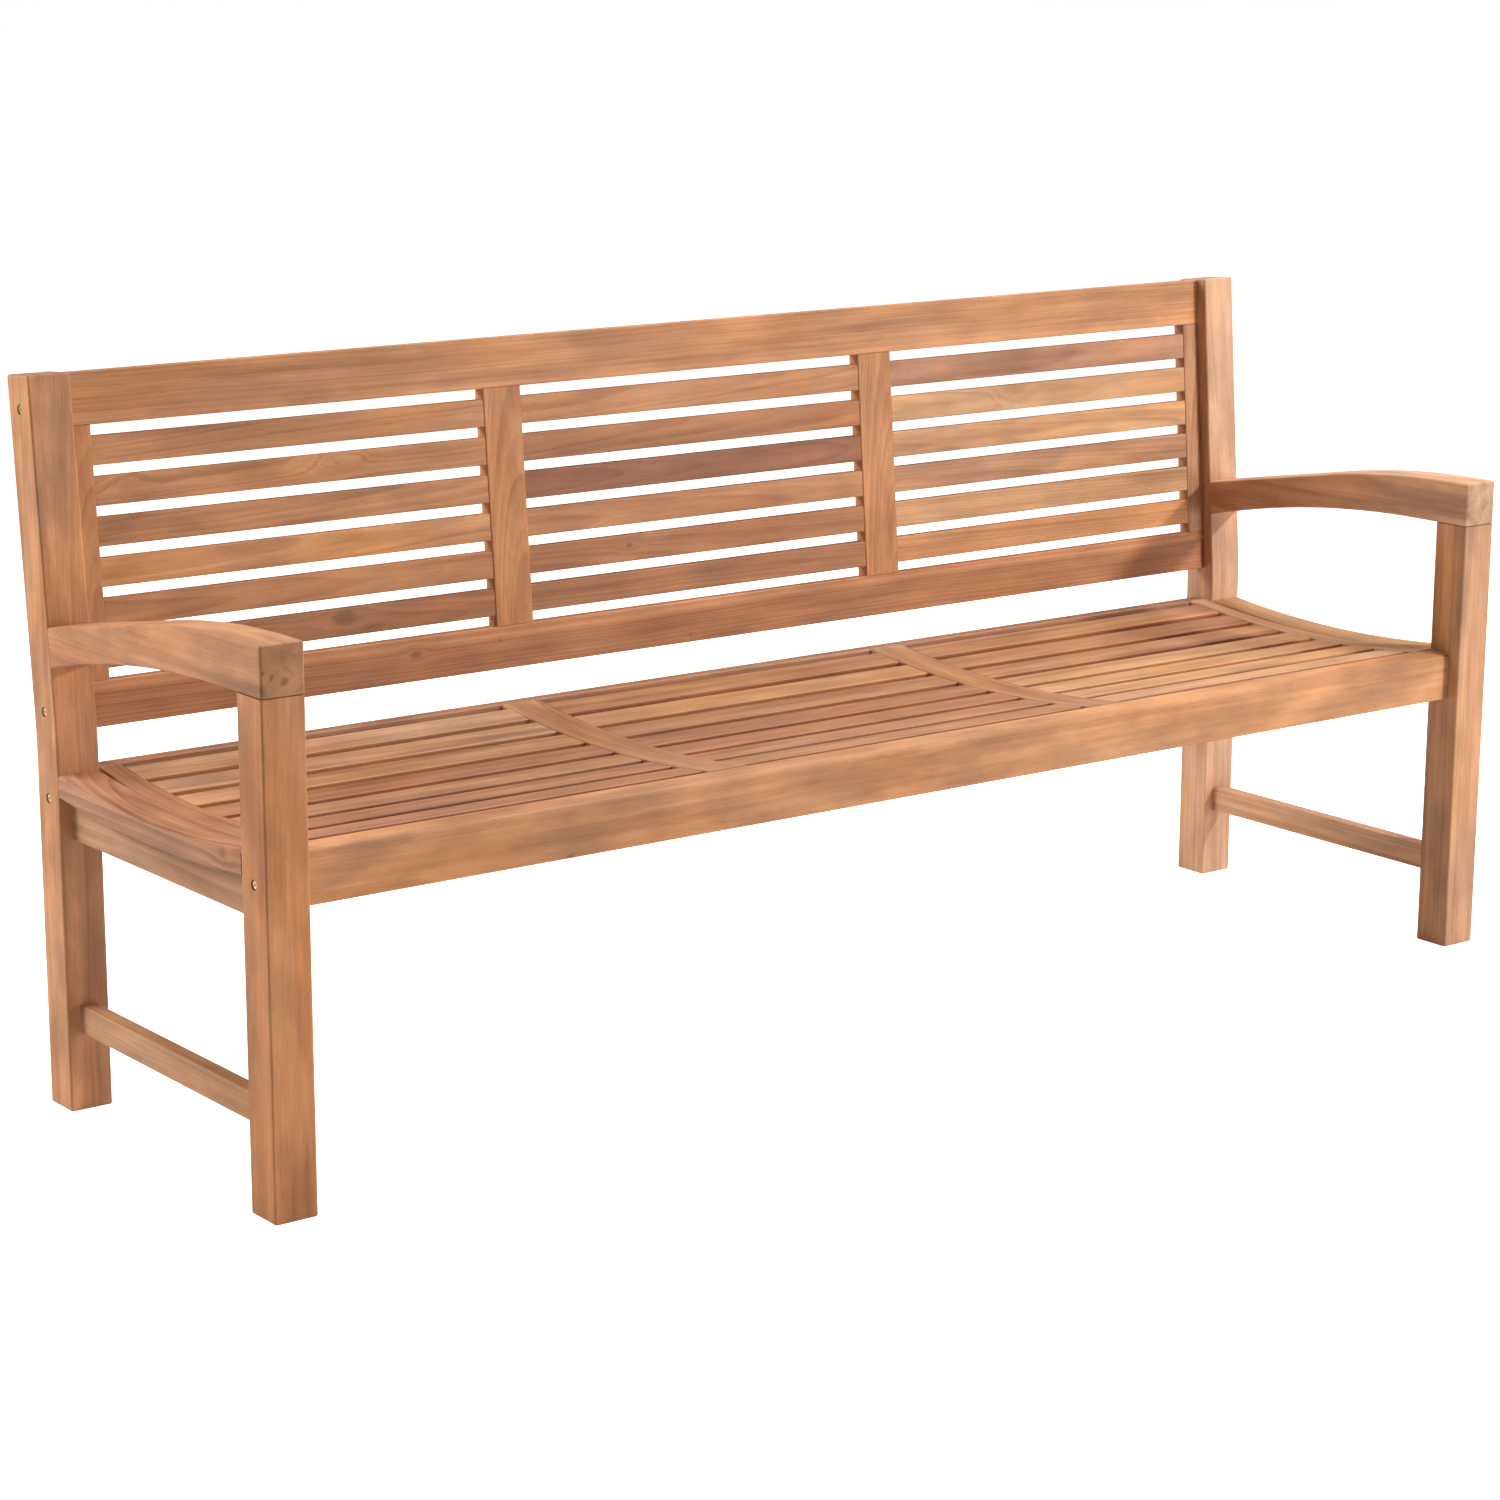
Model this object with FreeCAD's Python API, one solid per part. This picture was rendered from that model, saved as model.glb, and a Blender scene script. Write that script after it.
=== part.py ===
import FreeCAD, Part
import math
import os

# Three-bay garden bench of solid hardwood, bolted together from two glued end frames, a back panel and a
# seat panel. Millimetres. X runs along the bench, the front faces -Y, +Z is up. The origin is on the ground,
# under the middle of the whole bench's box. Depths are first counted back from the front legs' front faces.

# Overall sizes
BENCH_LENGTH = 1960.0        # outer face to outer face of the end frames
BENCH_DEPTH = 551.0          # front face of the front legs to rear face of the rear legs, at the ground
ARM_FRONT_HEIGHT = 665.0     # top of the arm at its front end
SEAT_LOW_HEIGHT = 411.0      # lowest point of the dished seat
BACK_LENGTH = 434.5          # leaning part of the rear leg, from its bend to its top
BEND_HEIGHT = 468.5          # where the rear leg's front face bends
BACK_LEAN = math.radians(4.9)

# Legs
LEG_WIDTH = 56.0
LEG_DEPTH = 55.0
LEG_EDGE = 3.0               # radius of the eased edges
BEND_RADIUS = 600.0          # inner radius of the rear leg's bend

# Arms
ARM_FRONT_THICKNESS = 60.5
ARM_TOP_FLAT = 30.0          # level stretch at the front of the arm's top
ARM_TOP_RADIUS = 1440.0
ARM_SLOPE = math.radians(9.9)
ARM_UNDER_FLAT = 90.0        # level stretch at the front of the arm's underside
ARM_UNDER_RADIUS = 1720.0
ARM_EDGE = 3.5
ARM_TENON_WIDTH = 28.0
ARM_TENON_HEIGHT = 22.0
ARM_TENON_LENGTH = 22.0
LEG_TENON_SIZE = 28.0        # square tenon on top of the front leg
LEG_TENON_LENGTH = 32.0

# Seat sides and stretchers, in the end frames
SEAT_DISH_RISE = 13.5        # how far the side board's ends stand above its middle
SIDE_BOARD_THICKNESS = 28.5
SIDE_BOARD_EDGE = 4.0
SIDE_RAIL_THICKNESS = 22.0
SIDE_RAIL_BOTTOM = 342.5
STRETCHER_THICKNESS = 22.0
STRETCHER_HEIGHT = 36.0
STRETCHER_BOTTOM = 98.5
RAIL_EDGE = 2.5
SIDE_TENON_LENGTH = 20.0
SIDE_TENON_SHOULDER = 5.0    # how far a side tenon is set in from each face of its rail
GLUE_GAP = 0.2

# Back panel: heights are measured up the lean, depths square to it
PANEL_SETBACK = 17.0         # from the rear legs' front faces
PANEL_THICKNESS = 20.0
PANEL_START = 5.0            # bottom of the panel above the bend
PANEL_BELOW_TOP = 1.0        # top of the panel below the tops of the rear legs
TOP_RAIL_HEIGHT = 64.5
BOTTOM_RAIL_HEIGHT = 56.5
BAYS = 3
END_STILE_WIDTH = 30.0
MID_STILE_WIDTH = 58.0
STILE_TENON_LENGTH = 14.0
STILE_TENON_THICKNESS = 8.0
STILE_TENON_SHOULDER = 6.0
BACK_SLATS = 6               # in each bay
BACK_SLAT_GAP = 13.5
BACK_SLAT_THICKNESS = 17.0
BACK_SLAT_SETBACK = 1.0      # from the stiles' front faces
PANEL_EDGE = 2.0

# Seat panel
FRONT_RAIL_SETBACK = 19.0    # from the front legs' front faces
SEAT_RAIL_THICKNESS = 34.0
SEAT_RAIL_BOTTOM = 358.5
SEAT_RAIL_FALL = 3.0         # how far a rail's top falls towards its outer edge
SEAT_NOSE = 5.0              # radius along the outer top edge of each rail
REAR_RAIL_INSET = 12.0       # front face of the rear rail behind the rear legs' front faces
END_CROSS_WIDTH = 31.0
MID_CROSS_WIDTH = 57.0
END_CROSS_GAP = 1.0          # between the seat panel and each side board
CROSS_RAIL_BOTTOM = 379.0
CROSS_TENON_LENGTH = 10.0
CROSS_TENON_SHOULDER = 7.0
CROSS_TENON_BOTTOM = 384.0
CROSS_TENON_HEIGHT = 20.0
SEAT_SLATS = 7               # in each bay
SEAT_SLAT_GAP = 15.0
SEAT_SLAT_THICKNESS = 18.0
SEAT_SLAT_DROP = 0.4         # slat tops below the cross rails' tops

# Slat tenons, the same in both panels
SLAT_TENON_LENGTH = 12.0
SLAT_TENON_THICKNESS = 8.0
SLAT_TENON_SHOULDER = 6.0
SLAT_EDGE = 1.8
FIT_GAP = 0.2                # between a tenon and its mortise, all round

# Connector bolts and barrel nuts
BOLT_RADIUS = 3.0
BOLT_LENGTH = 88.0
BOLT_CLEARANCE = 0.4
HEAD_RADIUS = 5.3
HEAD_THICKNESS = 3.0
HEAD_RECESS_RADIUS = 6.2
HEAD_RECESS_DEPTH = 4.5
SOCKET_FLATS = 4.0
SOCKET_DEPTH = 2.6
BOLT_PAST_NUT = 4.0          # bolt tip beyond the nut's middle line, plus the nut's radius
NUT_RADIUS = 5.0
NUT_LENGTH = 14.0
NUT_SLOT_WIDTH = 1.2
NUT_SLOT_DEPTH = 1.5
NUT_CLEARANCE = 0.2
THREAD_GAP = 0.05
TOP_BOLT_BELOW_TOP = 41.0    # down the lean from the top of the rear leg

# Places that follow from the sizes above
HALF_LENGTH = BENCH_LENGTH / 2
INNER_X = HALF_LENGTH - LEG_WIDTH
LEG_MIDDLE_X = HALF_LENGTH - LEG_WIDTH / 2
REARMOST = (BENCH_DEPTH - LEG_DEPTH + (LEG_DEPTH - LEG_EDGE) * math.cos(BACK_LEAN)
            + (BACK_LENGTH - LEG_EDGE) * math.sin(BACK_LEAN) + LEG_EDGE)
FRONT_Y = -REARMOST / 2
FRONT_LEG_BACK_Y = FRONT_Y + LEG_DEPTH
REAR_LEG_FRONT_Y = FRONT_Y + BENCH_DEPTH - LEG_DEPTH
FRONT_LEG_TOP = ARM_FRONT_HEIGHT - ARM_FRONT_THICKNESS
SIDE_SPAN = REAR_LEG_FRONT_Y - FRONT_LEG_BACK_Y
DISH_MIDDLE_Y = (FRONT_LEG_BACK_Y + REAR_LEG_FRONT_Y) / 2
DISH_RADIUS = ((SIDE_SPAN / 2) ** 2 + SEAT_DISH_RISE ** 2) / (2 * SEAT_DISH_RISE)
DISH_CENTRE_Z = SEAT_LOW_HEIGHT + DISH_RADIUS
FRONT_RAIL_Y = FRONT_Y + FRONT_RAIL_SETBACK
SEAT_OPEN_FRONT_Y = FRONT_RAIL_Y + SEAT_RAIL_THICKNESS
SEAT_OPEN_REAR_Y = REAR_LEG_FRONT_Y + REAR_RAIL_INSET
PANEL_TOP = BACK_LENGTH - PANEL_BELOW_TOP
TOP_RAIL_START = PANEL_TOP - TOP_RAIL_HEIGHT
BOTTOM_RAIL_TOP = PANEL_START + BOTTOM_RAIL_HEIGHT
BAY_WIDTH = (2 * INNER_X - 2 * END_STILE_WIDTH - (BAYS - 1) * MID_STILE_WIDTH) / BAYS
SEAT_BOLT_Z = (SEAT_RAIL_BOTTOM + SEAT_LOW_HEIGHT + SEAT_DISH_RISE) / 2
NUT_X = HALF_LENGTH - HEAD_RECESS_DEPTH - BOLT_LENGTH + BOLT_PAST_NUT + NUT_RADIUS


def vector(x, y, z):
    return FreeCAD.Vector(x, y, z)


def block(limits, grow=0.0):
    """Box from (low x, high x, low y, high y, low z, high z), larger by grow on every side."""
    x0, x1, y0, y1, z0, z1 = limits
    corner = vector(x0 - grow, y0 - grow, z0 - grow)
    return Part.makeBox(x1 - x0 + 2 * grow, y1 - y0 + 2 * grow, z1 - z0 + 2 * grow, corner)


def mirrored(shape):
    """The same piece at the other end of the bench."""
    return shape.mirror(vector(0, 0, 0), vector(1, 0, 0))


def edges_along(shape, axis, among=lambda middle: True):
    """Straight edges that run along axis and whose middle passes the test."""
    found = []
    for edge in shape.Edges:
        ends = [vertex.Point for vertex in edge.Vertexes]
        if len(ends) != 2 or edge.Curve.TypeId != "Part::GeomLine":
            continue
        along = (ends[1] - ends[0]).normalize()
        if abs(along.dot(axis)) > 0.999 and among((ends[0] + ends[1]) * 0.5):
            found.append(edge)
    return found


def edges_in_end_planes(shape, x0, x1):
    """Edges of an extruded outline that lie in its two end faces."""
    found = []
    for edge in shape.Edges:
        xs = [vertex.Point.x for vertex in edge.Vertexes]
        if max(xs) - min(xs) < 0.01 and min(abs(xs[0] - x0), abs(xs[0] - x1)) < 0.01:
            found.append(edge)
    return found


def eased_bar(limits, axis, radius):
    """Rectangular bar whose four long edges are rounded."""
    bar = block(limits)
    return bar.makeFillet(radius, edges_along(bar, axis))


def outline_solid(edges, x0, x1):
    """Closed outline in the plane x = x0, extruded to x = x1."""
    face = Part.Face(Part.Wire(edges))
    return face.extrude(vector(x1 - x0, 0, 0))


def line(a, b):
    return Part.makeLine(a, b)


def arc(a, middle, b):
    return Part.Arc(a, middle, b).toShape()


def cylinder(radius, length, start, direction):
    return Part.makeCylinder(radius, length, start, direction)


def on_back(shape):
    """Move a shape drawn with z up the lean and y square to it onto the rear legs' leaning front plane."""
    placed = shape.copy()
    turn = FreeCAD.Rotation(vector(1, 0, 0), -math.degrees(BACK_LEAN))
    placed.Placement = FreeCAD.Placement(vector(0, REAR_LEG_FRONT_Y, BEND_HEIGHT), turn)
    return placed


def dish_height(y, below=0.0):
    """Height of the dished seat surface at y, or of the surface a constant distance below it."""
    radius = DISH_RADIUS + below
    return DISH_CENTRE_Z - math.sqrt(radius ** 2 - (y - DISH_MIDDLE_Y) ** 2)


def dish_arc(x, y0, y1, below=0.0):
    middle = (y0 + y1) / 2
    points = [vector(x, y, dish_height(y, below)) for y in (y0, middle, y1)]
    return arc(*points)


def on_dish(shape, y):
    """Move a shape drawn about the origin, with its top at z = 0, to lie on the dish at y."""
    angle = math.asin((y - DISH_MIDDLE_Y) / DISH_RADIUS)
    placed = shape.copy()
    turn = FreeCAD.Rotation(vector(1, 0, 0), math.degrees(angle))
    placed.Placement = FreeCAD.Placement(vector(0, y, dish_height(y) - SEAT_SLAT_DROP), turn)
    return placed


# ---- End frames: the left one is drawn, the right one is its mirror image ----

def side_tenon(thickness, z0, z1, front):
    """Tenon on the front or rear end of a piece that runs from front leg to rear leg."""
    x = -LEG_MIDDLE_X
    half = thickness / 2 - SIDE_TENON_SHOULDER
    face = FRONT_LEG_BACK_Y if front else REAR_LEG_FRONT_Y
    reach = -SIDE_TENON_LENGTH if front else SIDE_TENON_LENGTH
    y0, y1 = sorted((face, face + reach))
    return (x - half, x + half, y0, y1, z0, z1)


def stretcher_tenon(front):
    z0 = STRETCHER_BOTTOM + SIDE_TENON_SHOULDER
    z1 = STRETCHER_BOTTOM + STRETCHER_HEIGHT - SIDE_TENON_SHOULDER
    return side_tenon(STRETCHER_THICKNESS, z0, z1, front)


def side_rail_tenon(front):
    z0 = SIDE_RAIL_BOTTOM + SIDE_TENON_SHOULDER
    z1 = SEAT_BOLT_Z - BOLT_RADIUS - 2 * SIDE_TENON_SHOULDER
    return side_tenon(SIDE_RAIL_THICKNESS, z0, z1, front)


def side_board_tenon(front):
    face = FRONT_LEG_BACK_Y if front else REAR_LEG_FRONT_Y
    z0 = dish_height(face, SIDE_BOARD_THICKNESS) + SIDE_TENON_SHOULDER
    z1 = dish_height(face) - SIDE_TENON_SHOULDER
    return side_tenon(LEG_WIDTH, z0, z1, front)


def arm_tenon():
    """Level tenon from the arm's rear end into the leaning rear leg; it starts inside the arm."""
    middle = (arm_top_at(REAR_LEG_FRONT_Y) + arm_under_at(REAR_LEG_FRONT_Y)) / 2
    plane_y = REAR_LEG_FRONT_Y + (middle - BEND_HEIGHT) * math.tan(BACK_LEAN)
    half = ARM_TENON_WIDTH / 2
    return (-LEG_MIDDLE_X - half, -LEG_MIDDLE_X + half, plane_y - ARM_TENON_LENGTH,
            plane_y + ARM_TENON_LENGTH, middle - ARM_TENON_HEIGHT / 2, middle + ARM_TENON_HEIGHT / 2)


def leg_tenon():
    half = LEG_TENON_SIZE / 2
    y = FRONT_Y + LEG_DEPTH / 2
    return (-LEG_MIDDLE_X - half, -LEG_MIDDLE_X + half, y - half, y + half,
            FRONT_LEG_TOP, FRONT_LEG_TOP + LEG_TENON_LENGTH)


def arm_top_at(y):
    """Height of the arm's top on its straight rear slope."""
    start_y = FRONT_Y + ARM_TOP_FLAT + ARM_TOP_RADIUS * math.sin(ARM_SLOPE)
    start_z = ARM_FRONT_HEIGHT - ARM_TOP_RADIUS * (1 - math.cos(ARM_SLOPE))
    return start_z - (y - start_y) * math.tan(ARM_SLOPE)


def arm_under_at(y):
    """Height of the arm's curved underside."""
    run = y - FRONT_Y - ARM_UNDER_FLAT
    return FRONT_LEG_TOP - ARM_UNDER_RADIUS + math.sqrt(ARM_UNDER_RADIUS ** 2 - run ** 2)


def bolt_spots():
    """Where bolts cross a left leg: (leg, y, z) on the leg's outer face."""
    depth = PANEL_SETBACK + PANEL_THICKNESS / 2
    spots = [("front", FRONT_Y + LEG_DEPTH / 2, SEAT_BOLT_Z),
             ("rear", REAR_LEG_FRONT_Y + LEG_DEPTH / 2, SEAT_BOLT_Z)]
    for height in back_bolt_heights():
        y = REAR_LEG_FRONT_Y + depth * math.cos(BACK_LEAN) + height * math.sin(BACK_LEAN)
        z = BEND_HEIGHT - depth * math.sin(BACK_LEAN) + height * math.cos(BACK_LEAN)
        spots.append(("rear", y, z))
    return spots


def back_bolt_heights():
    """Bolt heights up the lean, in the bottom rail and in the top rail."""
    return [PANEL_START + BOTTOM_RAIL_HEIGHT / 2 - PANEL_EDGE, BACK_LENGTH - TOP_BOLT_BELOW_TOP]


def bolt_hole(y, z):
    """Through hole and head recess for one bolt in the left end of the bench."""
    along = vector(1, 0, 0)
    hole = cylinder(BOLT_RADIUS + BOLT_CLEARANCE, HEAD_RECESS_DEPTH + BOLT_LENGTH + BOLT_CLEARANCE,
                    vector(-HALF_LENGTH, y, z), along)
    recess = cylinder(HEAD_RECESS_RADIUS, HEAD_RECESS_DEPTH, vector(-HALF_LENGTH, y, z), along)
    return hole.fuse(recess)


def front_leg():
    """Square post, eased all round, with a tenon on top for the arm."""
    post = block((-HALF_LENGTH, -INNER_X, FRONT_Y, FRONT_LEG_BACK_Y, 0, FRONT_LEG_TOP))
    at_top = FRONT_LEG_TOP - 0.01
    post = post.makeFillet(LEG_EDGE, [edge for edge in post.Edges if edge.CenterOfMass.z < at_top])
    post = post.fuse(block(leg_tenon()))
    for limits in (stretcher_tenon(True), side_rail_tenon(True), side_board_tenon(True)):
        post = post.cut(block(limits, FIT_GAP))
    for leg, y, z in bolt_spots():
        if leg == "front":
            post = post.cut(bolt_hole(y, z))
    return post


def rear_leg():
    """Upright sawn with a bend: plumb up to the seat, then leaning back, square across its top."""
    x = -HALF_LENGTH
    half_turn = BACK_LEAN / 2
    outer_radius = BEND_RADIUS + LEG_DEPTH
    bend_start = BEND_HEIGHT - outer_radius * math.tan(half_turn)
    centre_y = REAR_LEG_FRONT_Y + outer_radius

    def bend_point(radius, turn):
        return vector(x, centre_y - radius * math.cos(turn), bend_start + radius * math.sin(turn))

    def top_point(depth):
        y = REAR_LEG_FRONT_Y + depth * math.cos(BACK_LEAN) + BACK_LENGTH * math.sin(BACK_LEAN)
        z = BEND_HEIGHT - depth * math.sin(BACK_LEAN) + BACK_LENGTH * math.cos(BACK_LEAN)
        return vector(x, y, z)

    front_foot = vector(x, REAR_LEG_FRONT_Y, 0)
    rear_foot = vector(x, REAR_LEG_FRONT_Y + LEG_DEPTH, 0)
    front = [bend_point(outer_radius, turn) for turn in (0, half_turn, BACK_LEAN)]
    rear = [bend_point(BEND_RADIUS, turn) for turn in (0, half_turn, BACK_LEAN)]
    edges = [line(front_foot, front[0]), arc(*front), line(front[2], top_point(0)),
             line(top_point(0), top_point(LEG_DEPTH)), line(top_point(LEG_DEPTH), rear[2]),
             arc(rear[2], rear[1], rear[0]), line(rear[0], rear_foot), line(rear_foot, front_foot)]
    post = outline_solid(edges, -HALF_LENGTH, -INNER_X)
    half_way_up = BEND_HEIGHT + BACK_LENGTH / 2
    corners = edges_along(post, vector(1, 0, 0), lambda middle: middle.z < 1 or middle.z > half_way_up)
    sides = edges_in_end_planes(post, -HALF_LENGTH, -INNER_X)
    post = post.makeFillet(LEG_EDGE, sides + corners)
    tenons = (stretcher_tenon(False), side_rail_tenon(False), side_board_tenon(False), arm_tenon())
    for limits in tenons:
        post = post.cut(block(limits, FIT_GAP))
    for leg, y, z in bolt_spots():
        if leg == "rear":
            post = post.cut(bolt_hole(y, z))
    return post


def arm():
    """Armrest sawn from thick stock: level over the front leg, then curving down to the rear leg."""
    x = -HALF_LENGTH
    rear_y = REAR_LEG_FRONT_Y + LEG_DEPTH
    flat_end = vector(x, FRONT_Y + ARM_TOP_FLAT, ARM_FRONT_HEIGHT)

    def top_point(turn):
        y = flat_end.y + ARM_TOP_RADIUS * math.sin(turn)
        return vector(x, y, ARM_FRONT_HEIGHT - ARM_TOP_RADIUS * (1 - math.cos(turn)))

    def under_point(y):
        return vector(x, y, arm_under_at(y))

    under_start = FRONT_Y + ARM_UNDER_FLAT
    top = [top_point(turn) for turn in (0, ARM_SLOPE / 2, ARM_SLOPE)]
    under = [under_point(y) for y in (under_start, (under_start + rear_y) / 2, rear_y)]
    front_top = vector(x, FRONT_Y, ARM_FRONT_HEIGHT)
    front_low = vector(x, FRONT_Y, FRONT_LEG_TOP)
    rear_top = vector(x, rear_y, arm_top_at(rear_y))
    edges = [line(front_top, top[0]), arc(*top), line(top[2], rear_top), line(rear_top, under[2]),
             arc(under[2], under[1], under[0]), line(under[0], front_low), line(front_low, front_top)]
    bar = outline_solid(edges, -HALF_LENGTH, -INNER_X)
    behind = on_back(block((-HALF_LENGTH - LEG_WIDTH, -INNER_X + LEG_WIDTH, 0, 3 * LEG_DEPTH,
                            -BACK_LENGTH, BACK_LENGTH)))
    bar = bar.cut(behind)
    front_corners = edges_along(bar, vector(1, 0, 0), lambda middle: middle.y < FRONT_Y + 1)
    sides = [edge for edge in edges_in_end_planes(bar, -HALF_LENGTH, -INNER_X)
             if edge.CenterOfMass.y < REAR_LEG_FRONT_Y]
    bar = bar.makeFillet(ARM_EDGE, sides + front_corners)
    bar = bar.fuse(block(arm_tenon()))
    return bar.cut(block(leg_tenon(), FIT_GAP))


def side_board():
    """Thick board of full leg width, curved with the seat, between the front and rear legs."""
    y0, y1 = FRONT_LEG_BACK_Y, REAR_LEG_FRONT_Y
    x = -HALF_LENGTH
    top_ends = [vector(x, y, dish_height(y)) for y in (y0, y1)]
    low_ends = [vector(x, y, dish_height(y, SIDE_BOARD_THICKNESS)) for y in (y0, y1)]
    edges = [dish_arc(x, y0, y1), line(top_ends[1], low_ends[1]),
             dish_arc(x, y0, y1, SIDE_BOARD_THICKNESS), line(low_ends[0], top_ends[0])]
    board = outline_solid(edges, -HALF_LENGTH, -INNER_X)
    long_edges = [edge for edge in board.Edges if abs(edge.CenterOfMass.y - DISH_MIDDLE_Y) < 1]
    long_edges = [edge for edge in long_edges if edge.Length > SIDE_SPAN / 2]
    board = board.makeFillet(SIDE_BOARD_EDGE, long_edges)
    for front in (True, False):
        board = board.fuse(block(side_board_tenon(front)))
    return board


def side_rail():
    """Thinner rail under the side board, its top edge scribed to the board's curve."""
    y0, y1 = FRONT_LEG_BACK_Y, REAR_LEG_FRONT_Y
    x0 = -LEG_MIDDLE_X - SIDE_RAIL_THICKNESS / 2
    x1 = -LEG_MIDDLE_X + SIDE_RAIL_THICKNESS / 2
    below = SIDE_BOARD_THICKNESS + GLUE_GAP
    top_ends = [vector(x0, y, dish_height(y, below)) for y in (y0, y1)]
    low_ends = [vector(x0, y, SIDE_RAIL_BOTTOM) for y in (y0, y1)]
    edges = [dish_arc(x0, y0, y1, below), line(top_ends[1], low_ends[1]), line(low_ends[1], low_ends[0]),
             line(low_ends[0], top_ends[0])]
    rail = outline_solid(edges, x0, x1)
    low_edges = edges_along(rail, vector(0, 1, 0), lambda middle: middle.z < SIDE_RAIL_BOTTOM + 1)
    rail = rail.makeFillet(RAIL_EDGE, low_edges)
    for front in (True, False):
        rail = rail.fuse(block(side_rail_tenon(front)))
    return rail


def stretcher():
    """Slim rail between the front and rear legs, low down."""
    x0 = -LEG_MIDDLE_X - STRETCHER_THICKNESS / 2
    x1 = -LEG_MIDDLE_X + STRETCHER_THICKNESS / 2
    bar = eased_bar((x0, x1, FRONT_LEG_BACK_Y, REAR_LEG_FRONT_Y, STRETCHER_BOTTOM,
                     STRETCHER_BOTTOM + STRETCHER_HEIGHT), vector(0, 1, 0), RAIL_EDGE)
    for front in (True, False):
        bar = bar.fuse(block(stretcher_tenon(front)))
    return bar


# ---- Back panel: drawn upright, then leaned against the rear legs ----

def stile_spans():
    """Low and high x of every stile, from left to right."""
    spans = [(-INNER_X, -INNER_X + END_STILE_WIDTH)]
    for bay in range(1, BAYS):
        x0 = spans[-1][1] + BAY_WIDTH
        spans.append((x0, x0 + MID_STILE_WIDTH))
    spans.append((INNER_X - END_STILE_WIDTH, INNER_X))
    return spans


def stile_tenon(span, top):
    """Tenon on one end of a stile, into the top rail or the bottom rail."""
    middle = PANEL_SETBACK + PANEL_THICKNESS / 2
    face = TOP_RAIL_START if top else BOTTOM_RAIL_TOP
    reach = STILE_TENON_LENGTH if top else -STILE_TENON_LENGTH
    z0, z1 = sorted((face, face + reach))
    half = STILE_TENON_THICKNESS / 2
    return (span[0] + STILE_TENON_SHOULDER, span[1] - STILE_TENON_SHOULDER, middle - half, middle + half,
            z0, z1)


def back_nut_hole(height):
    """Hole for a barrel nut, drilled from the back of a rail near its left end."""
    rear = PANEL_SETBACK + PANEL_THICKNESS
    depth = PANEL_THICKNESS / 2 + NUT_LENGTH / 2 + NUT_CLEARANCE
    return cylinder(NUT_RADIUS + NUT_CLEARANCE, depth, vector(-NUT_X, rear, height), vector(0, -1, 0))


def back_rail(z0, z1, top):
    """Rail of the back panel, with mortises for the stiles and bolt and nut holes at both ends."""
    limits = (-INNER_X, INNER_X, PANEL_SETBACK, PANEL_SETBACK + PANEL_THICKNESS, z0, z1)
    rail = eased_bar(limits, vector(1, 0, 0), PANEL_EDGE)
    for span in stile_spans():
        rail = rail.cut(block(stile_tenon(span, top), FIT_GAP))
    height = back_bolt_heights()[1 if top else 0]
    hole = cylinder(BOLT_RADIUS + BOLT_CLEARANCE, HEAD_RECESS_DEPTH + BOLT_LENGTH + BOLT_CLEARANCE,
                    vector(-HALF_LENGTH, PANEL_SETBACK + PANEL_THICKNESS / 2, height), vector(1, 0, 0))
    for cutter in (hole, back_nut_hole(height)):
        rail = rail.cut(cutter).cut(mirrored(cutter))
    return on_back(rail)


def back_slat_heights():
    """Low and high edge of each slat row, from the bottom up."""
    opening = TOP_RAIL_START - BOTTOM_RAIL_TOP
    width = (opening - (BACK_SLATS + 1) * BACK_SLAT_GAP) / BACK_SLATS
    rows = []
    for row in range(BACK_SLATS):
        z0 = BOTTOM_RAIL_TOP + BACK_SLAT_GAP + row * (width + BACK_SLAT_GAP)
        rows.append((z0, z0 + width))
    return rows


def back_slat_limits(bay, row):
    """Body of one back slat, from stile to stile."""
    spans = stile_spans()
    z0, z1 = back_slat_heights()[row]
    y0 = PANEL_SETBACK + BACK_SLAT_SETBACK
    return (spans[bay][1], spans[bay + 1][0], y0, y0 + BACK_SLAT_THICKNESS, z0, z1)


def back_slat_tenons(bay, row):
    """One bar through the slat that makes the tenon at each end."""
    x0, x1, y0, y1, z0, z1 = back_slat_limits(bay, row)
    middle = (y0 + y1) / 2
    half = SLAT_TENON_THICKNESS / 2
    return (x0 - SLAT_TENON_LENGTH, x1 + SLAT_TENON_LENGTH, middle - half, middle + half,
            z0 + SLAT_TENON_SHOULDER, z1 - SLAT_TENON_SHOULDER)


def back_stile(index):
    """Upright of the back panel, with a mortise for every slat that meets it."""
    span = stile_spans()[index]
    limits = (span[0], span[1], PANEL_SETBACK, PANEL_SETBACK + PANEL_THICKNESS, BOTTOM_RAIL_TOP,
              TOP_RAIL_START)
    stile = eased_bar(limits, vector(0, 0, 1), PANEL_EDGE)
    for top in (True, False):
        stile = stile.fuse(block(stile_tenon(span, top)))
    for bay in (index - 1, index):
        if 0 <= bay < BAYS:
            for row in range(BACK_SLATS):
                stile = stile.cut(block(back_slat_tenons(bay, row), FIT_GAP))
    return on_back(stile)


def back_slat(bay, row):
    """Flat slat with eased edges and a stub tenon at each end."""
    slat = eased_bar(back_slat_limits(bay, row), vector(1, 0, 0), SLAT_EDGE)
    return on_back(slat.fuse(block(back_slat_tenons(bay, row))))


# ---- Seat panel ----

def cross_spans():
    """Low and high x of every cross rail; the middle ones line up with the back panel's stiles."""
    spans = []
    for x0, x1 in stile_spans():
        middle = (x0 + x1) / 2
        spans.append((middle - MID_CROSS_WIDTH / 2, middle + MID_CROSS_WIDTH / 2))
    left = -INNER_X + END_CROSS_GAP
    spans[0] = (left, left + END_CROSS_WIDTH)
    spans[-1] = (-spans[0][1], -spans[0][0])
    return spans


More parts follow.
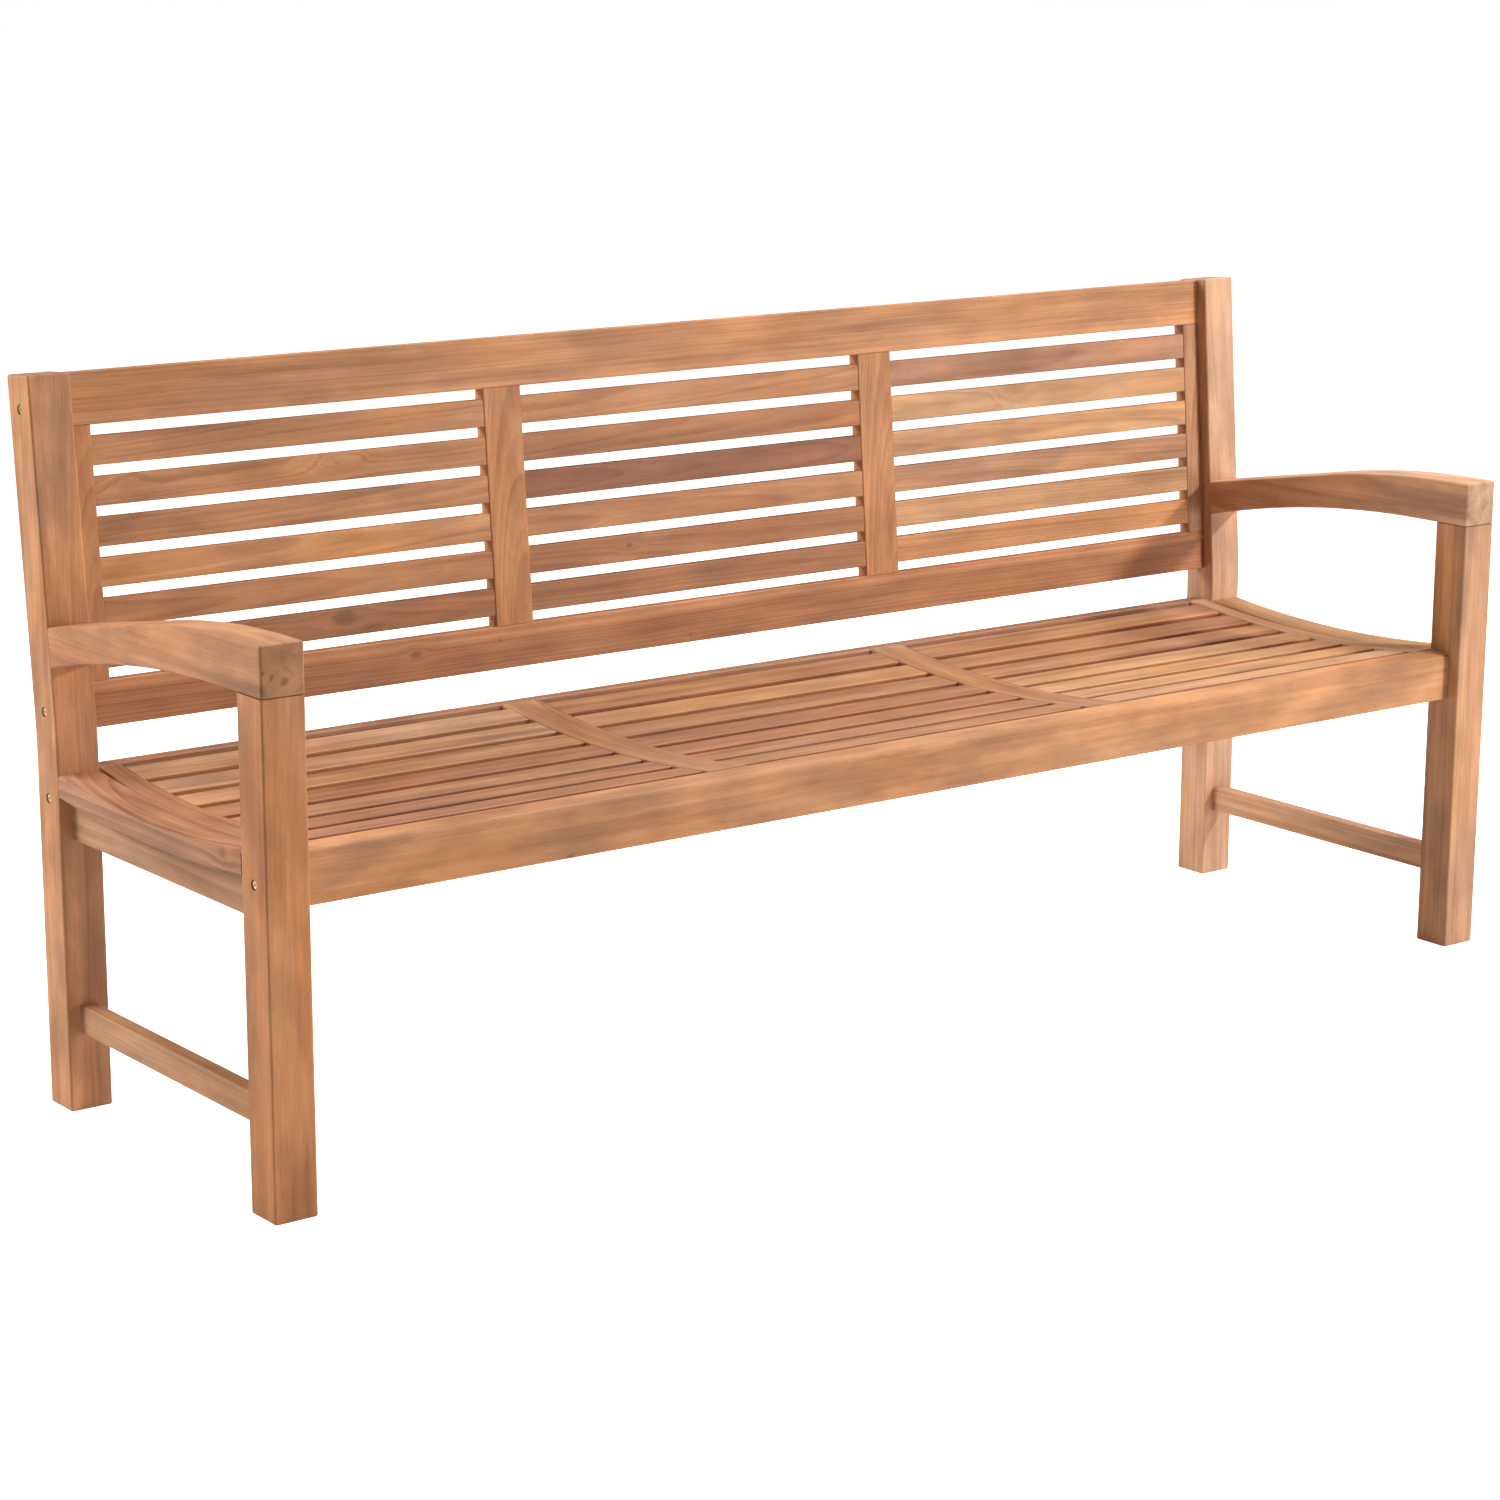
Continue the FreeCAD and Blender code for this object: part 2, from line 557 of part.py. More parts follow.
def cross_tenon(span, front):
    """Tenon from a cross rail into the front or rear rail."""
    face = SEAT_OPEN_FRONT_Y if front else SEAT_OPEN_REAR_Y
    reach = -CROSS_TENON_LENGTH if front else CROSS_TENON_LENGTH
    y0, y1 = sorted((face, face + reach))
    return (span[0] + CROSS_TENON_SHOULDER, span[1] - CROSS_TENON_SHOULDER, y0, y1,
            CROSS_TENON_BOTTOM, CROSS_TENON_BOTTOM + CROSS_TENON_HEIGHT)


def seat_rail(front):
    """Deep rail along the front or the rear of the seat, its top falling a little to a rounded edge."""
    inner = SEAT_OPEN_FRONT_Y if front else SEAT_OPEN_REAR_Y
    outer = inner - SEAT_RAIL_THICKNESS if front else inner + SEAT_RAIL_THICKNESS
    top = dish_height(inner)
    corners = [vector(-INNER_X, inner, SEAT_RAIL_BOTTOM), vector(-INNER_X, outer, SEAT_RAIL_BOTTOM),
               vector(-INNER_X, outer, top - SEAT_RAIL_FALL), vector(-INNER_X, inner, top)]
    edges = [line(corners[i], corners[(i + 1) % 4]) for i in range(4)]
    rail = outline_solid(edges, -INNER_X, INNER_X)
    nose = edges_along(rail, vector(1, 0, 0),
                       lambda middle: middle.z > SEAT_LOW_HEIGHT and abs(middle.y - outer) < 1)
    rail = rail.makeFillet(SEAT_NOSE, nose)
    others = edges_along(rail, vector(1, 0, 0),
                         lambda middle: middle.z < SEAT_RAIL_BOTTOM + 1 or abs(middle.y - inner) < 0.01)
    rail = rail.makeFillet(PANEL_EDGE, others)
    for span in cross_spans():
        rail = rail.cut(block(cross_tenon(span, front), FIT_GAP))
    y = (FRONT_Y if front else REAR_LEG_FRONT_Y) + LEG_DEPTH / 2
    hole = cylinder(BOLT_RADIUS + BOLT_CLEARANCE, HEAD_RECESS_DEPTH + BOLT_LENGTH + BOLT_CLEARANCE,
                    vector(-HALF_LENGTH, y, SEAT_BOLT_Z), vector(1, 0, 0))
    nut_depth = SEAT_BOLT_Z - SEAT_RAIL_BOTTOM + NUT_LENGTH / 2 + NUT_CLEARANCE
    nut_hole = cylinder(NUT_RADIUS + NUT_CLEARANCE, nut_depth, vector(-NUT_X, y, SEAT_RAIL_BOTTOM),
                        vector(0, 0, 1))
    for cutter in (hole, nut_hole):
        rail = rail.cut(cutter).cut(mirrored(cutter))
    return rail


def seat_slat_middles():
    """Y of each seat slat row's middle line, from front to rear, and the slats' width."""
    opening = SEAT_OPEN_REAR_Y - SEAT_OPEN_FRONT_Y
    width = (opening - (SEAT_SLATS + 1) * SEAT_SLAT_GAP) / SEAT_SLATS
    first = SEAT_OPEN_FRONT_Y + SEAT_SLAT_GAP + width / 2
    return [first + row * (width + SEAT_SLAT_GAP) for row in range(SEAT_SLATS)], width


def seat_slat_limits(bay):
    """Body of a seat slat drawn about the origin, with its top at z = 0."""
    spans = cross_spans()
    width = seat_slat_middles()[1]
    return (spans[bay][1], spans[bay + 1][0], -width / 2, width / 2, -SEAT_SLAT_THICKNESS, 0)


def seat_slat_tenons(bay):
    """One bar through the slat that makes the tenon at each end."""
    x0, x1, y0, y1, z0, z1 = seat_slat_limits(bay)
    middle = (z0 + z1) / 2
    half = SLAT_TENON_THICKNESS / 2
    return (x0 - SLAT_TENON_LENGTH, x1 + SLAT_TENON_LENGTH, y0 + SLAT_TENON_SHOULDER,
            y1 - SLAT_TENON_SHOULDER, middle - half, middle + half)


def seat_slat_row(row):
    """The three like slats of one row, one in each bay, lying on the dish."""
    y = seat_slat_middles()[0][row]
    slats = []
    for bay in range(BAYS):
        slat = eased_bar(seat_slat_limits(bay), vector(1, 0, 0), SLAT_EDGE)
        slats.append(on_dish(slat.fuse(block(seat_slat_tenons(bay))), y))
    return Part.makeCompound(slats)


def cross_rail(index):
    """Rail from front to rear under the sitter, its top dished and mortised for the slats."""
    span = cross_spans()[index]
    y0, y1 = SEAT_OPEN_FRONT_Y, SEAT_OPEN_REAR_Y
    top_ends = [vector(span[0], y, dish_height(y)) for y in (y0, y1)]
    low_ends = [vector(span[0], y, CROSS_RAIL_BOTTOM) for y in (y0, y1)]
    edges = [dish_arc(span[0], y0, y1), line(top_ends[1], low_ends[1]), line(low_ends[1], low_ends[0]),
             line(low_ends[0], top_ends[0])]
    rail = outline_solid(edges, span[0], span[1])
    half_length = (y1 - y0) / 2
    long_edges = [edge for edge in rail.Edges if edge.Length > half_length]
    rail = rail.makeFillet(PANEL_EDGE, long_edges)
    for front in (True, False):
        rail = rail.fuse(block(cross_tenon(span, front)))
    for bay in (index - 1, index):
        if 0 <= bay < BAYS:
            cutter = block(seat_slat_tenons(bay), FIT_GAP)
            for y in seat_slat_middles()[0]:
                rail = rail.cut(on_dish(cutter, y))
    return rail


# ---- Bolts and barrel nuts ----

def hexagon_prism(flats, length, start):
    """Six-sided prism along +X."""
    radius = flats / math.sqrt(3)
    points = []
    for i in range(7):
        angle = math.radians(60 * i)
        points.append(start + vector(0, radius * math.cos(angle), radius * math.sin(angle)))
    return Part.Face(Part.makePolygon(points)).extrude(vector(length, 0, 0))


def connector_bolt(y, z):
    """Bolt with a flat round head and a hexagon socket, its head at the bottom of the recess."""
    along = vector(1, 0, 0)
    under_head = vector(-HALF_LENGTH + HEAD_RECESS_DEPTH, y, z)
    head_top = under_head - along * HEAD_THICKNESS
    head = cylinder(HEAD_RADIUS, HEAD_THICKNESS, head_top, along)
    rim = [edge for edge in head.Edges if abs(edge.CenterOfMass.x - head_top.x) < 0.01
           and edge.Curve.TypeId == "Part::GeomCircle"]
    head = head.makeFillet(HEAD_THICKNESS / 3, rim)
    shank = cylinder(BOLT_RADIUS, BOLT_LENGTH, under_head, along)
    socket = hexagon_prism(SOCKET_FLATS, SOCKET_DEPTH, head_top)
    return head.fuse(shank).cut(socket)


def barrel_nut(middle, outward):
    """Short cross dowel whose threaded hole takes a bolt; a slot in its end turns it into line."""
    start = middle - outward * (NUT_LENGTH / 2)
    nut = cylinder(NUT_RADIUS, NUT_LENGTH, start, outward)
    bore = cylinder(BOLT_RADIUS + THREAD_GAP, 4 * NUT_RADIUS, middle - vector(2 * NUT_RADIUS, 0, 0),
                    vector(1, 0, 0))
    slot = block((-NUT_SLOT_WIDTH / 2, NUT_SLOT_WIDTH / 2, -2 * NUT_RADIUS, 2 * NUT_RADIUS,
                  -NUT_SLOT_DEPTH, NUT_SLOT_DEPTH))
    slot.Placement = FreeCAD.Placement(middle + outward * (NUT_LENGTH / 2),
                                       FreeCAD.Rotation(vector(0, 0, 1), outward))
    return nut.cut(bore).cut(slot)


def connector_bolts():
    left = [connector_bolt(y, z) for leg, y, z in bolt_spots()]
    return Part.makeCompound(left + [mirrored(bolt) for bolt in left])


def barrel_nuts():
    left = []
    back_outward = vector(0, math.cos(BACK_LEAN), -math.sin(BACK_LEAN))
    for leg, y, z in bolt_spots():
        outward = back_outward if z > BEND_HEIGHT else vector(0, 0, -1)
        left.append(barrel_nut(vector(-NUT_X, y, z), outward))
    return Part.makeCompound(left + [mirrored(nut) for nut in left])


def all_pieces():
    """Every node of the bench: name and shape."""
    pieces = {}
    end_frame = {"front_leg": front_leg(), "rear_leg": rear_leg(), "arm": arm(),
                 "seat_side_board": side_board(), "seat_side_rail": side_rail(), "stretcher": stretcher()}
    for name, shape in end_frame.items():
        pieces[name + "_left"] = shape
        pieces[name + "_right"] = mirrored(shape)

    pieces["back_top_rail"] = back_rail(TOP_RAIL_START, PANEL_TOP, True)
    pieces["back_bottom_rail"] = back_rail(PANEL_START, BOTTOM_RAIL_TOP, False)
    for index in range(BAYS + 1):
        pieces["back_stile_%d" % (index + 1)] = back_stile(index)
        pieces["seat_cross_rail_%d" % (index + 1)] = cross_rail(index)
    for bay in range(BAYS):
        for row in range(BACK_SLATS):
            pieces["back_slat_bay%d_row%d" % (bay + 1, row + 1)] = back_slat(bay, row)

    pieces["seat_front_rail"] = seat_rail(True)
    pieces["seat_rear_rail"] = seat_rail(False)
    for row in range(SEAT_SLATS):
        pieces["seat_slats_row%d" % (row + 1)] = seat_slat_row(row)

    pieces["connector_bolts"] = connector_bolts()
    pieces["barrel_nuts"] = barrel_nuts()
    return pieces


os.makedirs("parts", exist_ok=True)
for name, shape in all_pieces().items():
    shape.exportStep("parts/" + name + ".step")
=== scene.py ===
import math
import bpy
from mathutils import Euler, Matrix, Vector


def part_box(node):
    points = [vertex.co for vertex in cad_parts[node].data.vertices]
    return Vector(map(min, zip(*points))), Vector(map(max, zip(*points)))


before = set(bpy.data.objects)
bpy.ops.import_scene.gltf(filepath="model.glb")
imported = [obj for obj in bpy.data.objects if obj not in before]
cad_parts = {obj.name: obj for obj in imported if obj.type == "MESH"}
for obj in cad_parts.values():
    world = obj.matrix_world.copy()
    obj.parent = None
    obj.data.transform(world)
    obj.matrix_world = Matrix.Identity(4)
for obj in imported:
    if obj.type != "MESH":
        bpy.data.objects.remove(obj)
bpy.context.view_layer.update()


# ---- Front legs ----
# Square posts of pale tropical hardwood, planed and sanded, sold without oil. Each is sawn straight from
# a plank, so its growth rings run up the post and show as fine lines, and as arches on one pair of faces.

def tone(red, green, blue):
    """Paint-chart colour, 0 to 255, as the linear colour that a shader takes."""
    linear = []
    for value in (red, green, blue):
        share = value / 255
        linear.append(share / 12.92 if share < 0.04045 else ((share + 0.055) / 1.055) ** 2.4)
    return (*linear, 1.0)


def add_node(tree, kind, links=None, **settings):
    """Node of a shader tree. Settings name its properties; links maps an input to a value or an output."""
    node = tree.nodes.new("ShaderNode" + kind)
    for name, value in settings.items():
        setattr(node, name, value)
    for name, value in (links or {}).items():
        if isinstance(value, bpy.types.NodeSocket):
            tree.links.new(value, node.inputs[name])
        else:
            node.inputs[name].default_value = value
    return node


def maths(tree, operation, first, second=0.0, third=0.0):
    node = add_node(tree, "Math", {0: first, 1: second, 2: third}, operation=operation)
    return node.outputs[0]


def scaled(tree, vector, scale):
    return add_node(tree, "VectorMath", {0: vector, 1: scale}, operation="MULTIPLY").outputs[0]


def blended(tree, share, first, second, blend="MIX"):
    node = add_node(tree, "Mix", {0: share, 6: first, 7: second}, data_type="RGBA", blend_type=blend)
    return node.outputs[2]


def between(tree, value, low, high, to_low=0.0, to_high=1.0):
    """Value from low to high, turned smoothly into to_low to to_high."""
    node = add_node(tree, "MapRange", {0: value, 1: low, 2: high, 3: to_low, 4: to_high},
                    interpolation_type="SMOOTHSTEP")
    return node.outputs[0]


def new_group(name, sockets):
    """Shader node group with those inputs and outputs, and its two end nodes."""
    tree = bpy.data.node_groups.new(name, "ShaderNodeTree")
    for direction, socket, kind in sockets:
        tree.interface.new_socket(socket, in_out=direction, socket_type="NodeSocket" + kind)
    return tree, tree.nodes.new("NodeGroupInput").outputs, tree.nodes.new("NodeGroupOutput").inputs


# A knot draws the grain around itself. Its core is 1 in the middle and 0 from its radius outwards.
knot, knot_in, knot_out = new_group("knot", [
    ("INPUT", "Place", "Vector"), ("INPUT", "Centre", "Vector"), ("INPUT", "Radius", "Float"),
    ("OUTPUT", "Place", "Vector"), ("OUTPUT", "Core", "Float")])
away = add_node(knot, "VectorMath", {0: knot_in["Place"], 1: knot_in["Centre"]}, operation="SUBTRACT")
away = away.outputs[0]
ragged = add_node(knot, "TexNoise", {"Vector": knot_in["Place"], "Scale": 90.0, "Detail": 2.0}).outputs["Fac"]
reach = add_node(knot, "VectorMath", {0: scaled(knot, away, (0.55, 1.0, 1.0))}, operation="LENGTH")
reach = maths(knot, "DIVIDE", reach.outputs["Value"], knot_in["Radius"])
reach = maths(knot, "MULTIPLY_ADD", ragged, 0.9, maths(knot, "SUBTRACT", reach, 0.45))
pull = between(knot, reach, 0.2, 3.2, 0.85, 0.0)
pulled = scaled(knot, away, (0.25, 1.0, 1.0))
pulled = add_node(knot, "VectorMath", {0: pulled, "Scale": pull}, operation="SCALE")
drawn = add_node(knot, "VectorMath", {0: knot_in["Place"], 1: pulled.outputs[0]}, operation="SUBTRACT")
knot.links.new(drawn.outputs[0], knot_out["Place"])
knot.links.new(between(knot, reach, 0.35, 1.0, 1.0, 0.0), knot_out["Core"])

# Solid wood: X runs along the grain, and Y and Z are counted from the heart of the tree, in metres.
hardwood, wood_in, wood_out = new_group("solid hardwood", [
    ("INPUT", "Place", "Vector"), ("INPUT", "Pale", "Color"), ("INPUT", "Dark", "Color"),
    ("INPUT", "Streak", "Color"), ("INPUT", "Ring Width", "Float"), ("INPUT", "Rings", "Float"),
    ("INPUT", "Wander", "Float"), ("INPUT", "Streaks", "Float"), ("INPUT", "Sapwood From", "Float"),
    ("INPUT", "Knots", "Float"), ("INPUT", "End Grain", "Float"), ("INPUT", "Mottle", "Float"),
    ("INPUT", "Gap Shade", "Float"),
    ("OUTPUT", "Color", "Color"), ("OUTPUT", "Roughness", "Float"), ("OUTPUT", "Height", "Float")])
place = wood_in["Place"]
bend = add_node(hardwood, "TexNoise", {"Vector": scaled(hardwood, place, (1.6, 6.0, 6.0)), "Scale": 1.0,
                                       "Detail": 3.0, "Roughness": 0.5})
centred = add_node(hardwood, "VectorMath", {0: bend.outputs["Color"], 1: (0.5, 0.5, 0.5)},
                   operation="SUBTRACT").outputs[0]
wander = add_node(hardwood, "VectorMath", {0: centred, "Scale": wood_in["Wander"]}, operation="SCALE")
grown = add_node(hardwood, "VectorMath", {0: place, 1: wander.outputs[0]}, operation="ADD").outputs[0]
across = add_node(hardwood, "VectorMath", {0: scaled(hardwood, grown, (0.0, 1.0, 1.0))}, operation="LENGTH")
across = across.outputs["Value"]
years = maths(hardwood, "DIVIDE", across, wood_in["Ring Width"])
uneven = add_node(hardwood, "TexNoise", {"W": years, "Scale": 0.35, "Detail": 1.0}, noise_dimensions="1D")
years = maths(hardwood, "MULTIPLY_ADD", uneven.outputs["Fac"], 3.0, years)
season = maths(hardwood, "FRACT", years)
year = add_node(hardwood, "TexWhiteNoise", {"W": maths(hardwood, "FLOOR", years)}, noise_dimensions="1D")
late = maths(hardwood, "MULTIPLY", between(hardwood, season, 0.2, 0.88), between(hardwood, season, 1.0, 0.9))
late = maths(hardwood, "MULTIPLY", late, between(hardwood, year.outputs["Value"], 0.0, 1.0, 0.3, 1.0))
ring = maths(hardwood, "MULTIPLY", late, wood_in["Rings"])

fibre = add_node(hardwood, "TexNoise", {"Vector": scaled(hardwood, grown, (7.0, 420.0, 420.0)),
                                        "Scale": 1.0, "Detail": 3.0, "Roughness": 0.6})
pores = add_node(hardwood, "TexNoise", {"Vector": scaled(hardwood, grown, (55.0, 1300.0, 1300.0)),
                                        "Scale": 1.0, "Detail": 1.0})
pore = between(hardwood, pores.outputs["Fac"], 0.64, 0.72)
band = add_node(hardwood, "TexNoise", {"Vector": scaled(hardwood, grown, (4.5, 55.0, 55.0)),
                                       "Scale": 1.0, "Detail": 2.0, "Roughness": 0.5})
cloud = add_node(hardwood, "TexNoise", {"Vector": scaled(hardwood, place, (9.0, 22.0, 22.0)), "Scale": 1.0,
                                        "Detail": 3.0})
stain = add_node(hardwood, "TexNoise", {"Vector": scaled(hardwood, grown, (2.0, 34.0, 34.0)), "Scale": 1.0,
                                        "Detail": 3.0, "Distortion": 0.5})
glow = add_node(hardwood, "TexNoise", {"Vector": scaled(hardwood, grown, (4.0, 14.0, 14.0)), "Scale": 1.0,
                                       "Detail": 2.0})

# Shades that all the boards share. The warm glow multiplies a board's own colour. So does the gap shade,
# a painted shade that darkens and warms the seat slats' upright sides, where little light reaches into the
# gaps.
SAPWOOD_PALE = tone(216, 152, 104)
SAPWOOD_DARK = tone(186, 122, 78)
KNOT_BROWN = tone(122, 76, 54)
KNOT_STRENGTH = 0.55
WARM_GLOW = (1.08, 0.99, 0.82, 1.0)
GAP_SHADE_TINT = (0.78, 0.6, 0.46, 1.0)
PORE_SHADE = -0.22
END_GRAIN_SHADE = -0.25

depth = maths(hardwood, "ADD", ring, between(hardwood, band.outputs["Fac"], 0.3, 0.75, 0.0, 0.5))
depth = add_node(hardwood, "Clamp", {0: depth}).outputs[0]
wood_colour = blended(hardwood, depth, wood_in["Pale"], wood_in["Dark"])
stained = maths(hardwood, "MULTIPLY", between(hardwood, stain.outputs["Fac"], 0.5, 0.74), wood_in["Streaks"])
wood_colour = blended(hardwood, stained, wood_colour, wood_in["Streak"])
warm = between(hardwood, glow.outputs["Fac"], 0.42, 0.72)
wood_colour = blended(hardwood, warm, wood_colour, WARM_GLOW, "MULTIPLY")
sapwood = between(hardwood, maths(hardwood, "SUBTRACT", across, wood_in["Sapwood From"]), -0.002, 0.003)
sap_colour = blended(hardwood, depth, SAPWOOD_PALE, SAPWOOD_DARK)
wood_colour = blended(hardwood, sapwood, wood_colour, sap_colour)
wood_colour = blended(hardwood, maths(hardwood, "MULTIPLY", wood_in["Knots"], KNOT_STRENGTH), wood_colour,
                      KNOT_BROWN)
# Painted shade in the gaps: the seat slats' upright sides are tinted darker and warmer, as if in shadow.
wood_colour = blended(hardwood, wood_in["Gap Shade"], wood_colour, GAP_SHADE_TINT, "MULTIPLY")
grain_shade = between(hardwood, fibre.outputs["Fac"], 0.25, 0.75, 0.93, 1.06)
mottle = between(hardwood, cloud.outputs["Fac"], 0.3, 0.7, -1.0, 1.0)
grain_shade = maths(hardwood, "MULTIPLY", grain_shade,
                    maths(hardwood, "MULTIPLY_ADD", mottle, wood_in["Mottle"], 1.0))
grain_shade = maths(hardwood, "MULTIPLY", grain_shade, maths(hardwood, "MULTIPLY_ADD", pore, PORE_SHADE, 1.0))
grain_shade = maths(hardwood, "MULTIPLY", grain_shade,
                    maths(hardwood, "MULTIPLY_ADD", wood_in["End Grain"], END_GRAIN_SHADE, 1.0))
shade = add_node(hardwood, "CombineXYZ", {0: grain_shade, 1: grain_shade, 2: grain_shade}).outputs[0]
hardwood.links.new(scaled(hardwood, wood_colour, shade), wood_out["Color"])
rough = maths(hardwood, "MULTIPLY_ADD", fibre.outputs["Fac"], 0.16, 0.48)
rough = maths(hardwood, "MULTIPLY_ADD", wood_in["End Grain"], 0.1, rough)
hardwood.links.new(maths(hardwood, "MULTIPLY_ADD", ring, -0.06, rough), wood_out["Roughness"])
relief = maths(hardwood, "MULTIPLY_ADD", pore, -0.7, fibre.outputs["Fac"])
hardwood.links.new(maths(hardwood, "MULTIPLY_ADD", ring, 0.3, relief), wood_out["Height"])

# Each board is cut from its own part of a tree: its shades as pale, dark and streak.
SHADES = {
    "peach": (tone(218, 173, 138), tone(178, 130, 98), tone(142, 100, 80)),
    "sand": (tone(214, 166, 121), tone(174, 124, 84), tone(136, 92, 68)),
    "honey": (tone(222, 161, 109), tone(182, 120, 72), tone(140, 90, 60)),
    "dun": (tone(198, 149, 111), tone(158, 107, 76), tone(122, 80, 60)),
    "tan": (tone(205, 147, 101), tone(165, 106, 65), tone(126, 78, 52)),
    "rose": (tone(192, 140, 106), tone(152, 100, 71), tone(116, 74, 58)),
    "fawn": (tone(210, 152, 109), tone(171, 113, 75), tone(133, 86, 59)),
    "amber": (tone(204, 140, 92), tone(166, 102, 60), tone(127, 77, 49)),
    "brown": (tone(190, 132, 89), tone(150, 93, 56), tone(110, 65, 43)),
    "plum": (tone(163, 108, 76), tone(125, 75, 48), tone(93, 54, 38)),
}
TURNS = {"X": (0.0, 0.0, 0.0), "Y": (0.0, 0.0, -90.0), "Z": (0.0, 90.0, 0.0)}
GRAINS = {"X": (1.0, 0.0, 0.0), "Y": (0.0, 1.0, 0.0), "Z": (0.0, 0.0, 1.0)}
MM_IN_M = 1000


def along_trunk(node_name):
    """How far up the trunk a board was cut, in metres, worked out from its name so that boards differ."""
    letters = sum(ord(letter) * (index + 3) for index, letter in enumerate(node_name))
    steps, step_length = 97, 0.37
    return (letters % steps) * step_length


def cut_by_bay(tree, coordinates, placed, shade_names):
    """Places and shades for a node that holds three boards side by side, each from its own log."""
    bay_pitch = 0.616
    next_log = (5.3, 0.013, 0.009)
    bay = add_node(tree, "SeparateXYZ", {0: coordinates["Object"]}).outputs["X"]
    bay = maths(tree, "FLOOR", maths(tree, "MULTIPLY_ADD", bay, 1 / bay_pitch, 0.5))
    own_log = add_node(tree, "VectorMath", {0: next_log, "Scale": bay}, operation="SCALE").outputs[0]
    placed = add_node(tree, "VectorMath", {0: placed, 1: own_log}, operation="ADD").outputs[0]
    colours = []
    for left, centre, right in zip(*(SHADES[name] for name in shade_names)):
        colour = blended(tree, maths(tree, "LESS_THAN", bay, -0.5), centre, left)
        colours.append(blended(tree, maths(tree, "GREATER_THAN", bay, 0.5), colour, right))
    return placed, colours


def grown_round_knots(tree, placed, knots):
    """Places drawn round the knots, and where the knots' cores are. A knot is its centre and its radius."""
    core = None
    for centre, radius in knots:
        grown_over = add_node(tree, "Group", {"Place": placed, "Centre": centre, "Radius": radius},
                              node_tree=knot).outputs
        placed = grown_over["Place"]
        core = maths(tree, "MAXIMUM", grown_over["Core"], core) if core else grown_over["Core"]
    return placed, core


def saw(node_name, grain, shade, heart, ring_width=4.5, rings=0.45, wander=16.0, streaks=0.35, taper=0.0,
        sapwood=900.0, mottle=0.13, shade_in_gaps=False, knots=()):
    """Gives a board its own wood. Heart is where the board's middle lies from the tree's heart, taper is the
    angle between them, and sapwood starts at that distance. A knot is its place on the bench and its radius.
    Lengths are in mm. Three shades are for three boards side by side, from left to right."""
    low, high = (Vector(corner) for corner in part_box(node_name))
    turn = Euler([math.radians(angle) for angle in TURNS[grain]])
    turn = Euler((0.0, 0.0, math.radians(taper))).to_matrix() @ turn.to_matrix()
    middle = turn @ ((low + high) / 2)
    in_tree = Vector((along_trunk(node_name), heart[0] / MM_IN_M, heart[1] / MM_IN_M))
    shift = in_tree - Vector((0.0, middle.y, middle.z))

    wood = bpy.data.materials.new(node_name + " wood")
    wood.use_nodes = True
    tree = wood.node_tree
    coordinates = add_node(tree, "TexCoord").outputs
    placed = add_node(tree, "Mapping", {"Vector": coordinates["Object"], "Location": shift,
                                        "Rotation": turn.to_euler()}).outputs[0]
    if isinstance(shade, str):
        colours = SHADES[shade]
    else:
        placed, colours = cut_by_bay(tree, coordinates, placed, shade)
    in_wood = [(turn @ (Vector((x, y, z)) / MM_IN_M) + shift, radius / MM_IN_M)
               for x, y, z, radius in knots]
    placed, core = grown_round_knots(tree, placed, in_wood)
    facing = add_node(tree, "VectorMath", {0: coordinates["Normal"], 1: GRAINS[grain]},
                      operation="DOT_PRODUCT").outputs["Value"]
    inputs = {"Place": placed, "Pale": colours[0], "Dark": colours[1], "Streak": colours[2],
              "Ring Width": ring_width / MM_IN_M, "Rings": rings, "Wander": wander / MM_IN_M,
              "Streaks": streaks, "Sapwood From": sapwood / MM_IN_M, "Mottle": mottle,
              "End Grain": between(tree, maths(tree, "ABSOLUTE", facing), 0.7, 0.95)}
    if core:
        inputs["Knots"] = core
    # Painted shade: upright faces, the slats' sides down in the gaps, are masked for the darker, warmer tint.
    if shade_in_gaps:
        upright = add_node(tree, "SeparateXYZ", {0: coordinates["Normal"]}).outputs["Z"]
        inputs["Gap Shade"] = between(tree, maths(tree, "ABSOLUTE", upright), 0.75, 0.35)
    figure = add_node(tree, "Group", inputs, node_tree=hardwood).outputs

    bump = add_node(tree, "Bump", {"Strength": 0.25, "Distance": 0.0004, "Height": figure["Height"]})
    surface = tree.nodes["Principled BSDF"]
    surface.inputs["Specular IOR Level"].default_value = 0.35
    tree.links.new(figure["Color"], surface.inputs["Base Color"])
    tree.links.new(figure["Roughness"], surface.inputs["Roughness"])
    tree.links.new(bump.outputs[0], surface.inputs["Normal"])
    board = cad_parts[node_name]
    for number in range(len(board.data.materials)):
        board.material_slots[number].material = wood
    if not board.material_slots:
        board.data.materials.append(wood)


saw("front_leg_left", "Z", "amber", (90, 30), rings=0.2, streaks=0.2, taper=1.5, mottle=0.2)
saw("front_leg_right", "Z", "dun", (60, -70), rings=0.25, streaks=0.5, mottle=0.16)

# ---- Rear legs ----
# Each is sawn in one piece from a wide plank: upright below the seat and leaning back above it. The grain
# stays upright through the bend, so it runs out of the leaning faces in long arches.
saw("rear_leg_left", "Z", "fawn", (70, 60), rings=0.3, mottle=0.2)
saw("rear_leg_right", "Z", "peach", (-50, 90), rings=0.3)

# ---- Armrests ----
# Thick curved pieces sawn from plank, level at the front and dipping to the rear. A dark mineral stain runs
# through the left one and comes out at its front end.
saw("arm_left", "Y", "fawn", (40, 60), rings=0.25, streaks=0.45, mottle=0.18,
    knots=((-950, -293, 623, 7), (-964, -293, 628, 5), (-976, -293, 634, 4)))
saw("arm_right", "Y", "peach", (60, -50), rings=0.3, streaks=0.6)

